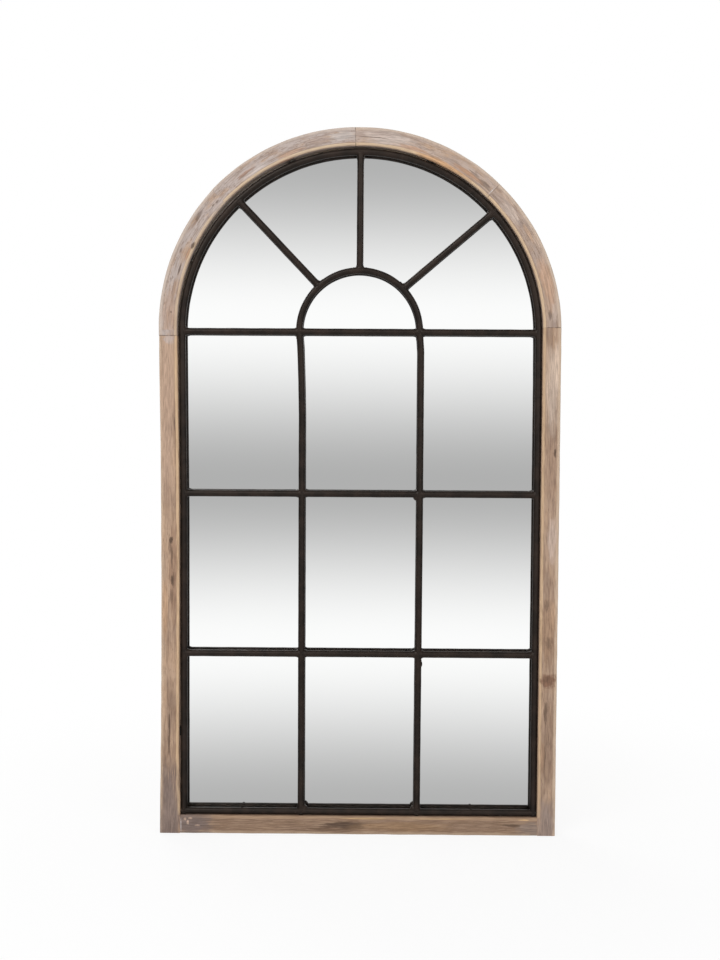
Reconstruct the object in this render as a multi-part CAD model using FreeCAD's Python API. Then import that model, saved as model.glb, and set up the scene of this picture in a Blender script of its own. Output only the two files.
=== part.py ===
import FreeCAD, Part
import math
import os

# Arched windowpane mirror: a pine frame round a welded iron-rod grille and one sheet of mirror.
# Millimetres. +Z is up, +X is to the right seen from the front, and the front faces -Y.
# The origin is the middle of the frame's bottom edge, halfway through the timber.

# Timber frame
frame_width = 610.0            # over the two stiles
spring_height = 776.0          # bottom edge to the centre of the arch
timber_face = 28.0             # width of each member seen from the front
timber_depth = 28.0
arch_overhang = 2.0            # the arch stands this far proud of the left stile, flush on the right
left_seam_drop = 6.0           # the left shoulder joint lies this far below the arch centre
seam_angle_right = 45.5        # joints of the arch segments, in degrees up from the right shoulder
seam_angle_top = 90.5
seam_angle_left = 136.5
outer_edge_round = 2.0
inner_edge_round = 3.5
rabbet_width = 9.0             # ledge behind the opening that the glass lies on

# Dowels in the seven timber joints
dowel_diameter = 8.0
dowel_length = 32.0
dowel_clearance = 0.05
dowel_end_gap = 1.0

# Grille of round rod
rod_diameter = 10.0
grille_set_back = 9.0          # timber front to the plane of the rod centres
grille_clearance = 0.5         # ring to timber, all round
pane_columns = 3
weld_gap = 0.1                 # fit-up gap at each coped rod end
weld_build = 2.0               # how far a weld bead stands out from the rod at its root
weld_leg = 5.0                 # how far a bead runs along the rod
weld_toe = 0.4                 # thickness of a bead at its thin end
spoke_left_hub_angle = 133.4   # spoke ends, in degrees round the arch centre
spoke_left_ring_angle = 133.8
spoke_centre_angle = 90.0
spoke_right_hub_angle = 44.7
spoke_right_ring_angle = 42.1

# Fixing tabs that hold the grille to the timber
tab_thickness = 2.0
tab_length = 14.0
tab_seat_gap = 0.3             # tab to timber
tab_glass_gap = 0.5
tab_base_spread = 165.0        # tabs on the base rod, left and right of the middle
tab_row_count = 2              # rows of panes, from the lowest, with a tab on each side
tab_arch_count = 4

# Mirror, packing and back
glass_thickness = 4.0
glass_clearance = 1.0          # to the rabbet wall at the sides
cardboard_thickness = 3.0
board_thickness = 4.0
board_inset = 6.0              # board edge in from the timber's outer edge
board_screw_inset = 6.5        # screw line in from the board's edge
stile_screw_count = 5
stile_screw_margin = 50.0
rail_screw_pitch = 180.0
arch_screw_count = 8

# Pan-head wood screws
screw_diameter = 3.0
screw_head_diameter = 5.8
screw_head_height = 2.0
screw_head_round = 1.2
screw_tip = 3.0
screw_length = 14.0
screw_clearance = 0.05
screw_slot_width = 0.8
screw_slot_length = 3.4
screw_slot_depth = 0.9

# Strap hangers with a swinging ring
hanger_drop = 76.0             # ring pivot below the arch centre
hanger_inset = 14.0            # ring centre in from the stile's outer edge
strap_width = 10.0
strap_thickness = 1.6
strap_length = 46.0            # pivot to the strap's lower end
strap_screw_margin = 8.0       # strap's lower end to the lower screw
strap_screw_pitch = 12.0
strap_screw_length = 16.0
ring_wire = 3.0
ring_width = 20.0              # between wire centres
ring_corner = 3.0
ring_side = 3.0                # straight sides between the corners and the bow
ring_fit = 0.08                # radial clearance of the wire in the strap's eye
ring_lift = 0.3                # the eye is rolled this far clear of the strap's plane

# Wall bumpers
bumper_diameter = 20.0
bumper_height = 6.0
bumper_round = 1.5
bumper_inset = 30.0            # bumper centre in from the board's side edge
bumper_rise = 26.0             # bumper centre up from the board's lower edge

# Places that several pieces share
timber_front = -timber_depth / 2
timber_back = timber_depth / 2
opening_half = frame_width / 2 - timber_face
arch_x = -arch_overhang / 2
arch_outer = frame_width / 2 + arch_overhang / 2
arch_inner = arch_outer - timber_face
arch_middle = (arch_outer + arch_inner) / 2
glass_front = timber_back - cardboard_thickness - glass_thickness
rabbet_ledge = timber_face - rabbet_width
glass_half = opening_half + rabbet_width - glass_clearance
board_half = frame_width / 2 - board_inset
board_back = timber_back + board_thickness
rod_radius = rod_diameter / 2
rod_y = timber_front + grille_set_back
ring_half = opening_half - grille_clearance - rod_radius
ring_bottom = timber_face + grille_clearance + rod_radius
hub_half = ring_half / pane_columns
row_names = ("lower", "middle", "upper")
row_pitch = (spring_height - ring_bottom) / len(row_names)
row_heights = [ring_bottom + row_pitch * (row + 1) for row in range(len(row_names))]
hanger_x = frame_width / 2 - hanger_inset
hanger_z = spring_height - hanger_drop
eye_radius = ring_wire / 2 + ring_fit
hanger_y = board_back + strap_thickness + eye_radius + ring_lift

LEFT_TO_RIGHT = FreeCAD.Vector(1, 0, 0)
FRONT_TO_BACK = FreeCAD.Vector(0, 1, 0)
UP = FreeCAD.Vector(0, 0, 1)
TOWARDS_FRONT = FreeCAD.Vector(0, -1, 0)


def point(x, y, z):
    return FreeCAD.Vector(x, y, z)


def polar(centre_x, radius, angle, y):
    """Point at an angle, in degrees up from the right, round the height of the arch centre."""
    turn = math.radians(angle)
    return point(centre_x + radius * math.cos(turn), y, spring_height + radius * math.sin(turn))


def turned(origin, angle):
    """Placement that takes +X to the given angle in the frame's plane, with Y kept."""
    return FreeCAD.Placement(origin, FreeCAD.Rotation(TOWARDS_FRONT, angle))


def placed(shape, placement):
    moved = shape.copy()
    moved.Placement = placement.multiply(shape.Placement)
    return moved


def straight_rod(start, end, radius):
    along = end - start
    return Part.makeCylinder(radius, along.Length, start, along)


def line(start, end):
    return Part.LineSegment(start, end).toShape()


def arc(start, middle, end):
    return Part.Arc(start, middle, end).toShape()


def rod_along(edges, radius):
    """Round rod whose centreline is a chain of lines and tangent arcs."""
    lengths = []
    for edge in edges:
        along = edge.tangentAt(edge.FirstParameter)
        circle = Part.makeCircle(radius, edge.valueAt(edge.FirstParameter), along)
        section = Part.Face(Part.Wire(circle))
        if isinstance(edge.Curve, Part.Line):
            lengths.append(section.extrude(along * edge.Length))
        else:
            turn = math.degrees(edge.Length / edge.Curve.Radius)
            lengths.append(section.revolve(edge.Curve.Center, edge.Curve.Axis, turn))
    return lengths[0].fuse(lengths[1:]).removeSplitter()


def near(shape, cutters):
    """The cutters whose boxes reach the shape."""
    return [cutter for cutter in cutters if shape.BoundBox.intersect(cutter.BoundBox)]


def cut_by(shape, cutters):
    reached = near(shape, cutters)
    if not reached:
        return shape
    return shape.cut(reached)


def save(name, shapes):
    solids = shapes if isinstance(shapes, list) else [shapes]
    body = solids[0] if len(solids) == 1 else Part.makeCompound(solids)
    body.exportStep("parts/" + name + ".step")


# Screws: seat plane at x = 0, shank along +X, head towards -X
def pan_screw(length):
    shank = Part.makeCylinder(screw_diameter / 2, length - screw_tip, point(0, 0, 0), LEFT_TO_RIGHT)
    tip_start = point(length - screw_tip, 0, 0)
    tip = Part.makeCone(screw_diameter / 2, 0, screw_tip, tip_start, LEFT_TO_RIGHT)
    head_start = point(-screw_head_height, 0, 0)
    head = Part.makeCylinder(screw_head_diameter / 2, screw_head_height, head_start, LEFT_TO_RIGHT)
    rim = [edge for edge in head.Edges if edge.BoundBox.XMax < -screw_head_height / 2]
    head = head.makeFillet(screw_head_round, rim)
    slot_corner = point(-screw_head_height, -screw_slot_length / 2, -screw_slot_width / 2)
    slot = Part.makeBox(screw_slot_depth, screw_slot_length, screw_slot_width, slot_corner)
    cross = slot.copy()
    cross.rotate(point(0, 0, 0), LEFT_TO_RIGHT, 90)
    return head.fuse([shank, tip]).cut([slot, cross]).removeSplitter()


def screw_hole(length):
    """Pilot hole for a screw of this length, open at its seat plane."""
    radius = screw_diameter / 2 + screw_clearance
    return Part.makeCylinder(radius, length + screw_clearance, point(0, 0, 0), LEFT_TO_RIGHT)


def into_back(x, y, z):
    """Placement of a screw driven forwards into the back, seated at y."""
    return FreeCAD.Placement(point(x, y, z), FreeCAD.Rotation(UP, -90))


# Dowels across the timber joints
dowel_y = (timber_front + glass_front) / 2
dowel_places = [
    turned(point(arch_x - arch_middle, dowel_y, spring_height - left_seam_drop), 90),
    turned(point(arch_x + arch_middle, dowel_y, spring_height), 90),
    turned(point(-opening_half, dowel_y, timber_face / 2), 0),
    turned(point(opening_half, dowel_y, timber_face / 2), 0),
]
for seam in (seam_angle_right, seam_angle_top, seam_angle_left):
    dowel_places.append(turned(polar(arch_x, arch_middle, seam, dowel_y), seam + 90))


def dowel(radius, length):
    return Part.makeCylinder(radius, length, point(-length / 2, 0, 0), LEFT_TO_RIGHT)


dowels = []
timber_holes = []
for place in dowel_places:
    dowels.append(placed(dowel(dowel_diameter / 2, dowel_length), place))
    hole = dowel(dowel_diameter / 2 + dowel_clearance, dowel_length + 2 * dowel_end_gap)
    timber_holes.append(placed(hole, place))

# Grille centrelines: an arched ring, a base rod, and a hub bent from one rod with its two uprights
ring_left_foot = point(-ring_half, rod_y, ring_bottom - rod_diameter)
ring_left_spring = point(-ring_half, rod_y, spring_height)
ring_right_spring = point(ring_half, rod_y, spring_height)
ring_right_foot = point(ring_half, rod_y, ring_bottom - rod_diameter)
ring_path = [
    line(ring_left_foot, ring_left_spring),
    arc(ring_left_spring, polar(0, ring_half, 90, rod_y), ring_right_spring),
    line(ring_right_spring, ring_right_foot),
]
hub_left_foot = point(-hub_half, rod_y, ring_bottom)
hub_left_spring = point(-hub_half, rod_y, spring_height)
hub_right_spring = point(hub_half, rod_y, spring_height)
hub_right_foot = point(hub_half, rod_y, ring_bottom)
hub_path = [
    line(hub_left_foot, hub_left_spring),
    arc(hub_left_spring, polar(0, hub_half, 90, rod_y), hub_right_spring),
    line(hub_right_spring, hub_right_foot),
]
base_left = point(-ring_half - rod_diameter, rod_y, ring_bottom)
base_right = point(ring_half + rod_diameter, rod_y, ring_bottom)


def corner_wedge(side, keep_leg):
    """Half of the space at a bottom corner of the ring, cut along the mitre."""
    reach = 3 * rod_diameter
    inward = -side * reach
    corner_x = side * ring_half
    tip = -reach if keep_leg else reach
    outline = [
        point(corner_x + inward, rod_y - reach, ring_bottom + reach),
        point(corner_x - inward, rod_y - reach, ring_bottom - reach),
        point(corner_x + side * tip, rod_y - reach, ring_bottom + tip),
    ]
    face = Part.Face(Part.makePolygon(outline + outline[:1]))
    return face.extrude(FRONT_TO_BACK * 2 * reach)


ring_rod = rod_along(ring_path, rod_radius)
ring_rod = ring_rod.cut([corner_wedge(side, True) for side in (-1, 1)])
base_rod = straight_rod(base_left, base_right, rod_radius)
base_rod = base_rod.cut([corner_wedge(side, False) for side in (-1, 1)])

# Cutters a weld gap larger than the rods, for coped ends
cope_radius = rod_radius + weld_gap
ring_cope = rod_along(ring_path, cope_radius)
hub_cope = rod_along(hub_path, cope_radius)
base_cope = straight_rod(base_left, base_right, cope_radius)
hub_rod = rod_along(hub_path, rod_radius).cut(base_cope)

bar_ends = (-ring_half, -hub_half, hub_half, ring_half)
bar_columns = ("left", "centre", "right")
bar_lines = {}
for row, height in zip(row_names, row_heights):
    for number, column in enumerate(bar_columns):
        start = point(bar_ends[number], rod_y, height)
        end = point(bar_ends[number + 1], rod_y, height)
        bar_lines["crossbar_" + row + "_" + column] = (start, end)

spoke_angles = {
    "left": (spoke_left_hub_angle, spoke_left_ring_angle),
    "centre": (spoke_centre_angle, spoke_centre_angle),
    "right": (spoke_right_hub_angle, spoke_right_ring_angle),
}
spoke_lines = {}
for side_name, (hub_angle, ring_angle) in spoke_angles.items():
    start = polar(0, hub_half, hub_angle, rod_y)
    end = polar(0, ring_half, ring_angle, rod_y)
    spoke_lines["spoke_" + side_name] = (start, end)

coped_rods = {}
for name, (start, end) in list(bar_lines.items()) + list(spoke_lines.items()):
    coped_rods[name] = straight_rod(start, end, rod_radius).cut([ring_cope, hub_cope])

# Weld beads: a tapered collar at each coped end, and a fillet inside each mitred corner.
# The rod that a bead lands on counts as straight for the bead's own width.
bead_radius = rod_radius + weld_build
arc_sag = bead_radius ** 2 / (2 * hub_half)
root_radius = cope_radius + arc_sag


def weld_bead(foot, along, across):
    """Collar on the rod that leaves foot along one way, saddled on the rod that runs across there."""
    saddle = foot + along * (rod_radius / 2)
    toe = foot + along * (root_radius + weld_leg)
    collar = Part.makeCone(bead_radius, cope_radius + weld_toe, (toe - saddle).Length, saddle, along)
    own_rod = straight_rod(foot, toe + along * rod_radius, cope_radius)
    landing = straight_rod(foot - across * rod_diameter, foot + across * rod_diameter, root_radius)
    return collar.cut([own_rod, landing])


def corner_bead(side):
    """Fillet in the crook of a bottom corner of the ring."""
    corner = point(side * ring_half, rod_y, ring_bottom)
    inward = LEFT_TO_RIGHT * -side
    reach = 2 * root_radius + weld_leg
    depth = rod_diameter - weld_build
    front = corner - FRONT_TO_BACK * (depth / 2)
    outline = Part.makePolygon([front, front + inward * reach, front + UP * reach, front])
    fillet = Part.Face(outline).extrude(FRONT_TO_BACK * depth)
    leg = straight_rod(corner - UP * rod_diameter, corner + UP * 2 * reach, root_radius)
    base = straight_rod(corner - inward * rod_diameter, corner + inward * 2 * reach, root_radius)
    return fillet.cut([leg, base])


def round_arch(angle):
    """Direction along the arch at an angle."""
    return turned(point(0, 0, 0), angle).multVec(UP)


weld_beads = {}
for row in row_names:
    row_beads = []
    for column in bar_columns:
        start, end = bar_lines["crossbar_" + row + "_" + column]
        row_beads.append(weld_bead(start, LEFT_TO_RIGHT, UP))
        row_beads.append(weld_bead(end, LEFT_TO_RIGHT * -1, UP))
    weld_beads[row] = row_beads
weld_beads["fan"] = []
for side_name, (hub_angle, ring_angle) in spoke_angles.items():
    start, end = spoke_lines["spoke_" + side_name]
    along = (end - start).normalize()
    weld_beads["fan"].append(weld_bead(start, along, round_arch(hub_angle)))
    weld_beads["fan"].append(weld_bead(end, along * -1, round_arch(ring_angle)))
weld_beads["base"] = [corner_bead(-1), corner_bead(1)]
for upright_foot in (hub_left_foot, hub_right_foot):
    weld_beads["base"].append(weld_bead(upright_foot, UP, LEFT_TO_RIGHT))

# Fixing tabs: plates welded behind the ring, each with a screw driven outwards into the timber
tab_places = [turned(point(side * tab_base_spread, rod_y, ring_bottom), -90) for side in (-1, 1)]
for row in range(tab_row_count):
    tab_height = ring_bottom + row_pitch * (row + 0.5)
    tab_places.append(turned(point(-ring_half, rod_y, tab_height), 180))
    tab_places.append(turned(point(ring_half, rod_y, tab_height), 0))
for number in range(tab_arch_count):
    angle = 180 / tab_arch_count * (number + 0.5)
    tab_places.append(turned(polar(0, ring_half, angle, rod_y), angle))

tab_outer = rod_radius + grille_clearance - tab_seat_gap
tab_inner = tab_outer - tab_thickness
tab_depth = glass_front - rod_y - tab_glass_gap
tab_screw_y = (rod_radius + glass_front - rod_y) / 2
grille_tabs = []
tab_screws = []
for place in tab_places:
    plate = Part.makeBox(tab_thickness, tab_depth, tab_length, point(tab_inner, 0, -tab_length / 2))
    seat = FreeCAD.Placement(point(tab_inner, tab_screw_y, 0), FreeCAD.Rotation())
    hole = placed(placed(screw_hole(screw_length), seat), place)
    plate = placed(plate, place).cut([ring_cope, base_cope, hole])
    grille_tabs.append(plate)
    tab_screws.append(placed(placed(pan_screw(screw_length), seat), place))
    timber_holes.append(hole)

# Back board screws: along each stile, along the rail and round the arch
board_bottom = board_inset
screw_line = board_half - board_screw_inset
stile_step = (spring_height - 2 * stile_screw_margin) / (stile_screw_count - 1)
back_screw_places = []
for side in (-1, 1):
    for number in range(stile_screw_count):
        height = stile_screw_margin + stile_step * number
        back_screw_places.append(into_back(side * screw_line, board_back, height))
for number in (-1, 0, 1):
    rail_x = number * rail_screw_pitch
    back_screw_places.append(into_back(rail_x, board_back, board_bottom + board_screw_inset))
for number in range(arch_screw_count):
    spot = polar(0, screw_line, 180 / arch_screw_count * (number + 0.5), board_back)
    back_screw_places.append(into_back(spot.x, spot.y, spot.z))
back_screws = [placed(pan_screw(screw_length), place) for place in back_screw_places]
back_holes = [placed(screw_hole(screw_length), place) for place in back_screw_places]

# Hangers: a strap rolled into an eye at its top, two screws, and a D-shaped wire ring in the eye
hanger_screw_places = []
for side in (-1, 1):
    for number in (0, 1):
        screw_z = hanger_z - strap_length + strap_screw_margin + number * strap_screw_pitch
        seat_y = board_back + strap_thickness
        hanger_screw_places.append(into_back(side * hanger_x, seat_y, screw_z))
hanger_screws = [placed(pan_screw(strap_screw_length), place) for place in hanger_screw_places]
hanger_holes = [placed(screw_hole(strap_screw_length), place) for place in hanger_screw_places]


def hanger_strap(centre_x):
    left = centre_x - strap_width / 2
    end_radius = strap_width / 2
    end_z = hanger_z - strap_length + end_radius
    plate_height = hanger_z - end_z
    plate = Part.makeBox(strap_width, strap_thickness, plate_height, point(left, board_back, end_z))
    round_end = Part.makeCylinder(
        end_radius, strap_thickness, point(centre_x, board_back, end_z), FRONT_TO_BACK)
    eye_start = point(left, hanger_y, hanger_z)
    eye = Part.makeCylinder(eye_radius + strap_thickness, strap_width, eye_start, LEFT_TO_RIGHT)
    bore = Part.makeCylinder(eye_radius, strap_width, eye_start, LEFT_TO_RIGHT)
    strap = plate.fuse([round_end, eye]).cut(bore)
    return cut_by(strap, hanger_holes).removeSplitter()


def hanger_ring(centre_x):
    """Closed D of wire, hanging straight down from its bar."""
    half = ring_width / 2
    bar = half - ring_corner
    bow_z = hanger_z - ring_corner - ring_side
    corner_x = bar + ring_corner * math.sqrt(0.5)
    corner_z = hanger_z - ring_corner + ring_corner * math.sqrt(0.5)

    def spot(x, z):
        return point(centre_x + x, hanger_y, z)

    path = [
        line(spot(0, hanger_z), spot(bar, hanger_z)),
        arc(spot(bar, hanger_z), spot(corner_x, corner_z), spot(half, hanger_z - ring_corner)),
        line(spot(half, hanger_z - ring_corner), spot(half, bow_z)),
        arc(spot(half, bow_z), spot(0, bow_z - half), spot(-half, bow_z)),
        line(spot(-half, bow_z), spot(-half, hanger_z - ring_corner)),
        arc(spot(-half, hanger_z - ring_corner), spot(-corner_x, corner_z), spot(-bar, hanger_z)),
        line(spot(-bar, hanger_z), spot(0, hanger_z)),
    ]
    return rod_along(path, ring_wire / 2)


# Timber members: one moulded section, with rounded front edges and a rabbet behind
def timber_section(spot, rabbeted):
    """Face of the section; spot(across, y) places a point, with across counted from the opening."""
    inner_mid = inner_edge_round * (1 - math.sqrt(0.5))
    outer_mid = outer_edge_round * (1 - math.sqrt(0.5))
    inner_side = spot(0, timber_front + inner_edge_round)
    inner_front = spot(inner_edge_round, timber_front)
    outer_front = spot(timber_face - outer_edge_round, timber_front)
    outer_side = spot(timber_face, timber_front + outer_edge_round)
    back_corners = [spot(timber_face, timber_back)]
    if rabbeted:
        back_corners.append(spot(rabbet_width, timber_back))
        back_corners.append(spot(rabbet_width, glass_front))
        back_corners.append(spot(0, glass_front))
    else:
        back_corners.append(spot(0, timber_back))
    edges = [
        arc(inner_side, spot(inner_mid, timber_front + inner_mid), inner_front),
        line(inner_front, outer_front),
        arc(outer_front, spot(timber_face - outer_mid, timber_front + outer_mid), outer_side),
    ]
    corners = [outer_side] + back_corners + [inner_side]
    for start, end in zip(corners, corners[1:]):
        edges.append(line(start, end))
    return Part.Face(Part.Wire(edges))


def stile(side, height):
    """Upright with a rabbet stopped at the rail's ledge, so that its foot stays whole."""
    section = timber_section(lambda across, y: point(side * (opening_half + across), y, 0), False)
    body = section.extrude(UP * height)
    rabbet_left = opening_half if side > 0 else -opening_half - rabbet_width
    corner = point(rabbet_left, glass_front, rabbet_ledge)
    rabbet = Part.makeBox(rabbet_width, timber_back - glass_front, height - rabbet_ledge, corner)
    return body.cut(rabbet)


def rail():
    section = timber_section(lambda across, y: point(-opening_half, y, timber_face - across), True)
    return section.extrude(LEFT_TO_RIGHT * 2 * opening_half)


def arch_segment(start_angle, end_angle):
    section = timber_section(
        lambda across, y: polar(arch_x, arch_inner + across, start_angle, y), True)
    centre = point(arch_x, 0, spring_height)
    return section.revolve(centre, TOWARDS_FRONT, end_angle - start_angle)


def left_stilt():
    """Short straight foot that carries the left arch segment down to its joint."""
    section = timber_section(lambda across, y: polar(arch_x, arch_inner + across, 180, y), True)
    return section.extrude(UP * -left_seam_drop)


lower_left = arch_segment(seam_angle_left, 180).fuse(left_stilt()).removeSplitter()
timber = {
    "left_stile": stile(-1, spring_height - left_seam_drop),
    "right_stile": stile(1, spring_height),
    "bottom_rail": rail(),
    "arch_lower_left": lower_left,
    "arch_upper_left": arch_segment(seam_angle_top, seam_angle_left),
    "arch_upper_right": arch_segment(seam_angle_right, seam_angle_top),
    "arch_lower_right": arch_segment(0, seam_angle_right),
}
timber_holes += back_holes + hanger_holes


# Sheets with a straight foot and a half-round top
def arched_sheet(half, bottom, front, thickness):
    foot_left = point(-half, front, bottom)
    foot_right = point(half, front, bottom)
    spring_left = point(-half, front, spring_height)
    spring_right = point(half, front, spring_height)
    outline = Part.Wire([
        line(foot_left, foot_right),
        line(foot_right, spring_right),
        arc(spring_right, polar(0, half, 90, front), spring_left),
        line(spring_left, foot_left),
    ])
    return Part.Face(outline).extrude(FRONT_TO_BACK * thickness)


mirror_glass = arched_sheet(glass_half, rabbet_ledge, glass_front, glass_thickness)
cardboard_front = glass_front + glass_thickness
cardboard_sheet = arched_sheet(glass_half, rabbet_ledge, cardboard_front, cardboard_thickness)
backing_board = arched_sheet(board_half, board_bottom, timber_back, board_thickness)
backing_board = cut_by(backing_board, back_holes + hanger_holes)


def wall_bumper(side):
    start = point(side * (board_half - bumper_inset), board_back, board_bottom + bumper_rise)
    pad = Part.makeCylinder(bumper_diameter / 2, bumper_height, start, FRONT_TO_BACK)
    middle_y = board_back + bumper_height / 2
    rim = [edge for edge in pad.Edges if edge.BoundBox.YMin > middle_y]
    return pad.makeFillet(bumper_round, rim)


# One file for each named piece or group of like fasteners
os.makedirs("parts", exist_ok=True)
for name, body in timber.items():
    save(name, cut_by(body, timber_holes))
save("frame_dowels", dowels)
save("ring_bent_rod", ring_rod)
save("ring_base_rod", base_rod)
save("hub_rod", hub_rod)
for name, rod in coped_rods.items():
    save(name, rod)
for group, beads in weld_beads.items():
    save("weld_beads_" + group, [solid for bead in beads for solid in bead.Solids])
save("grille_tabs", grille_tabs)
save("grille_tab_screws", tab_screws)
save("mirror_glass", mirror_glass)
save("cardboard_sheet", cardboard_sheet)
save("backing_board", backing_board)
save("backing_screws", back_screws)
for side_name, side in (("left", -1), ("right", 1)):
    save("hanger_strap_" + side_name, hanger_strap(side * hanger_x))
    save("hanger_ring_" + side_name, hanger_ring(side * hanger_x))
save("hanger_screws", hanger_screws)
save("wall_bumpers", [wall_bumper(side) for side in (-1, 1)])
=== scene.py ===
import math

import bpy
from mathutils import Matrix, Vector


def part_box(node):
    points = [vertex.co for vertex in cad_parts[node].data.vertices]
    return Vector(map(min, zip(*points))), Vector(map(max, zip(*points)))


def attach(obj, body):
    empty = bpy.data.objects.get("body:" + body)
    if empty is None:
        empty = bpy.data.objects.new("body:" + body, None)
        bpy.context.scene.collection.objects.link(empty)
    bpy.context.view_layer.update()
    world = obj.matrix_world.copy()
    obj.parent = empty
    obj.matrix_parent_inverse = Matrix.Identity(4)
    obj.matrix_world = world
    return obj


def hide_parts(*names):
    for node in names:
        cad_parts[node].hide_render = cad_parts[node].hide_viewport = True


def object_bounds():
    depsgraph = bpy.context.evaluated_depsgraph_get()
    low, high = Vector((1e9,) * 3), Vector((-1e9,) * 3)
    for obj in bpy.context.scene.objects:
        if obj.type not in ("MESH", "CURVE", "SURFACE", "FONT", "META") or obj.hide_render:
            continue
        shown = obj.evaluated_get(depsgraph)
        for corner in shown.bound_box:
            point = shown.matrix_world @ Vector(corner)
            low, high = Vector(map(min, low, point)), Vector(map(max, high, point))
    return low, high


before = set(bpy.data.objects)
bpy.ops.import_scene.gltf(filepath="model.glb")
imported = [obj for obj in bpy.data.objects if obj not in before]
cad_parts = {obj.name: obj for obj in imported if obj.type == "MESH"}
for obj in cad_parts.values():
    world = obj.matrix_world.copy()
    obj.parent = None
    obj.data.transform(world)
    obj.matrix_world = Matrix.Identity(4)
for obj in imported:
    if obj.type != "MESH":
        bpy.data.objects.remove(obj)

cad_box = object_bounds()

# Stiles
# Two upright pine battens, planed square, the front edges rounded over and sanded back to bare wood.
# A stopped rabbet behind the inner edge takes the glass, and dowels hold the rail and the arch to them.
stile_low, stile_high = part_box("right_stile")
glass_low, glass_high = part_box("mirror_glass")
timber_face = stile_high.x - stile_low.x
timber_front = stile_low.y
timber_back = stile_high.y
opening_half = stile_low.x
glass_front = glass_low.y
spring = stile_high.z
rabbet_width = 0.009
rabbet_overcut = 0.002
inner_round = 0.0035
outer_round = 0.002
inner_strip = 0.0021           # how far the bare inner edge, with its painted highlight, fades into the face
outer_strip = 0.007
painted_shade_depth = 0.010            # how far down the inner side the painted shade comes to full strength
end_chamfer = 0.0002
batten_step = 0.006            # distance between rings of vertices along a batten
face_cuts = 9                  # vertices across the face and down the outer side, for the wear
side_cuts = 5
wear_depth = 0.0008
wear_least = 0.3               # share of the wear that the middle of the face gets
timber_crease = 35             # degrees past which an edge of the timber stays sharp
same_place = 0.00001


def everything(spot):
    return True


def same(first, second):
    return abs(first - second) < same_place


def select_nothing():
    bpy.ops.object.select_all(action="DESELECT")


def take(piece):
    """Leaves any editing and makes a piece the only one selected."""
    if bpy.context.mode != "OBJECT":
        bpy.ops.object.mode_set(mode="OBJECT")
    select_nothing()
    piece.select_set(True)
    bpy.context.view_layer.objects.active = piece


def pick(piece, kind, test):
    """Opens a piece for editing, with the vertices, edges or faces selected that pass the test."""
    take(piece)
    bpy.ops.object.mode_set(mode="EDIT")
    bpy.ops.mesh.select_mode(type=kind)
    bpy.ops.mesh.select_all(action="DESELECT")
    bpy.ops.object.mode_set(mode="OBJECT")
    mesh = piece.data
    inside = [test(vertex.co) for vertex in mesh.vertices]
    if kind == "VERT":
        for vertex in mesh.vertices:
            vertex.select = inside[vertex.index]
    for part in {"VERT": (), "EDGE": mesh.edges, "FACE": mesh.polygons}[kind]:
        part.select = all(inside[number] for number in part.vertices)
    bpy.ops.object.mode_set(mode="EDIT")


def leave():
    bpy.ops.object.mode_set(mode="OBJECT")


def settle(piece):
    """Fixes a piece's place, turn and size into its mesh."""
    take(piece)
    bpy.ops.object.transform_apply(location=True, rotation=True, scale=True)


def close_up(piece):
    """Merges doubled points and turns every face outwards."""
    pick(piece, "FACE", everything)
    bpy.ops.mesh.remove_doubles(threshold=same_place)
    bpy.ops.mesh.normals_make_consistent(inside=False)
    leave()


def apply_modifier(piece, kind, **settings):
    take(piece)
    modifier = piece.modifiers.new(kind.lower(), kind)
    for name, value in settings.items():
        setattr(modifier, name, value)
    bpy.ops.object.modifier_apply(modifier=modifier.name)


def smooth(piece, angle):
    take(piece)
    bpy.ops.object.shade_smooth_by_angle(angle=math.radians(angle))


def run_out(move, steps):
    """Draws the selected end of the piece being edited out by a move, in even steps."""
    for number in range(steps):
        bpy.ops.mesh.extrude_region_move(TRANSFORM_OT_translate={"value": Vector(move) / steps})


def inner_wear_and_shade(across, depth):
    """State of a place in a batten's section: 1 sanded bare with a painted highlight, 0 as finished, -1 in
    painted shade down the side.
    """
    if across < inner_round:
        return 1 - 2 * min((depth - timber_front) / painted_shade_depth, 1)
    return max(1 - (across - inner_round + depth - timber_front) / inner_strip, 0)


def outer_wear(across, depth):
    """How far a place near the outer edge is rubbed pale, from 0 to 1."""
    return max(1 - math.hypot(timber_face - across, depth - timber_front) / outer_strip, 0)


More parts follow.
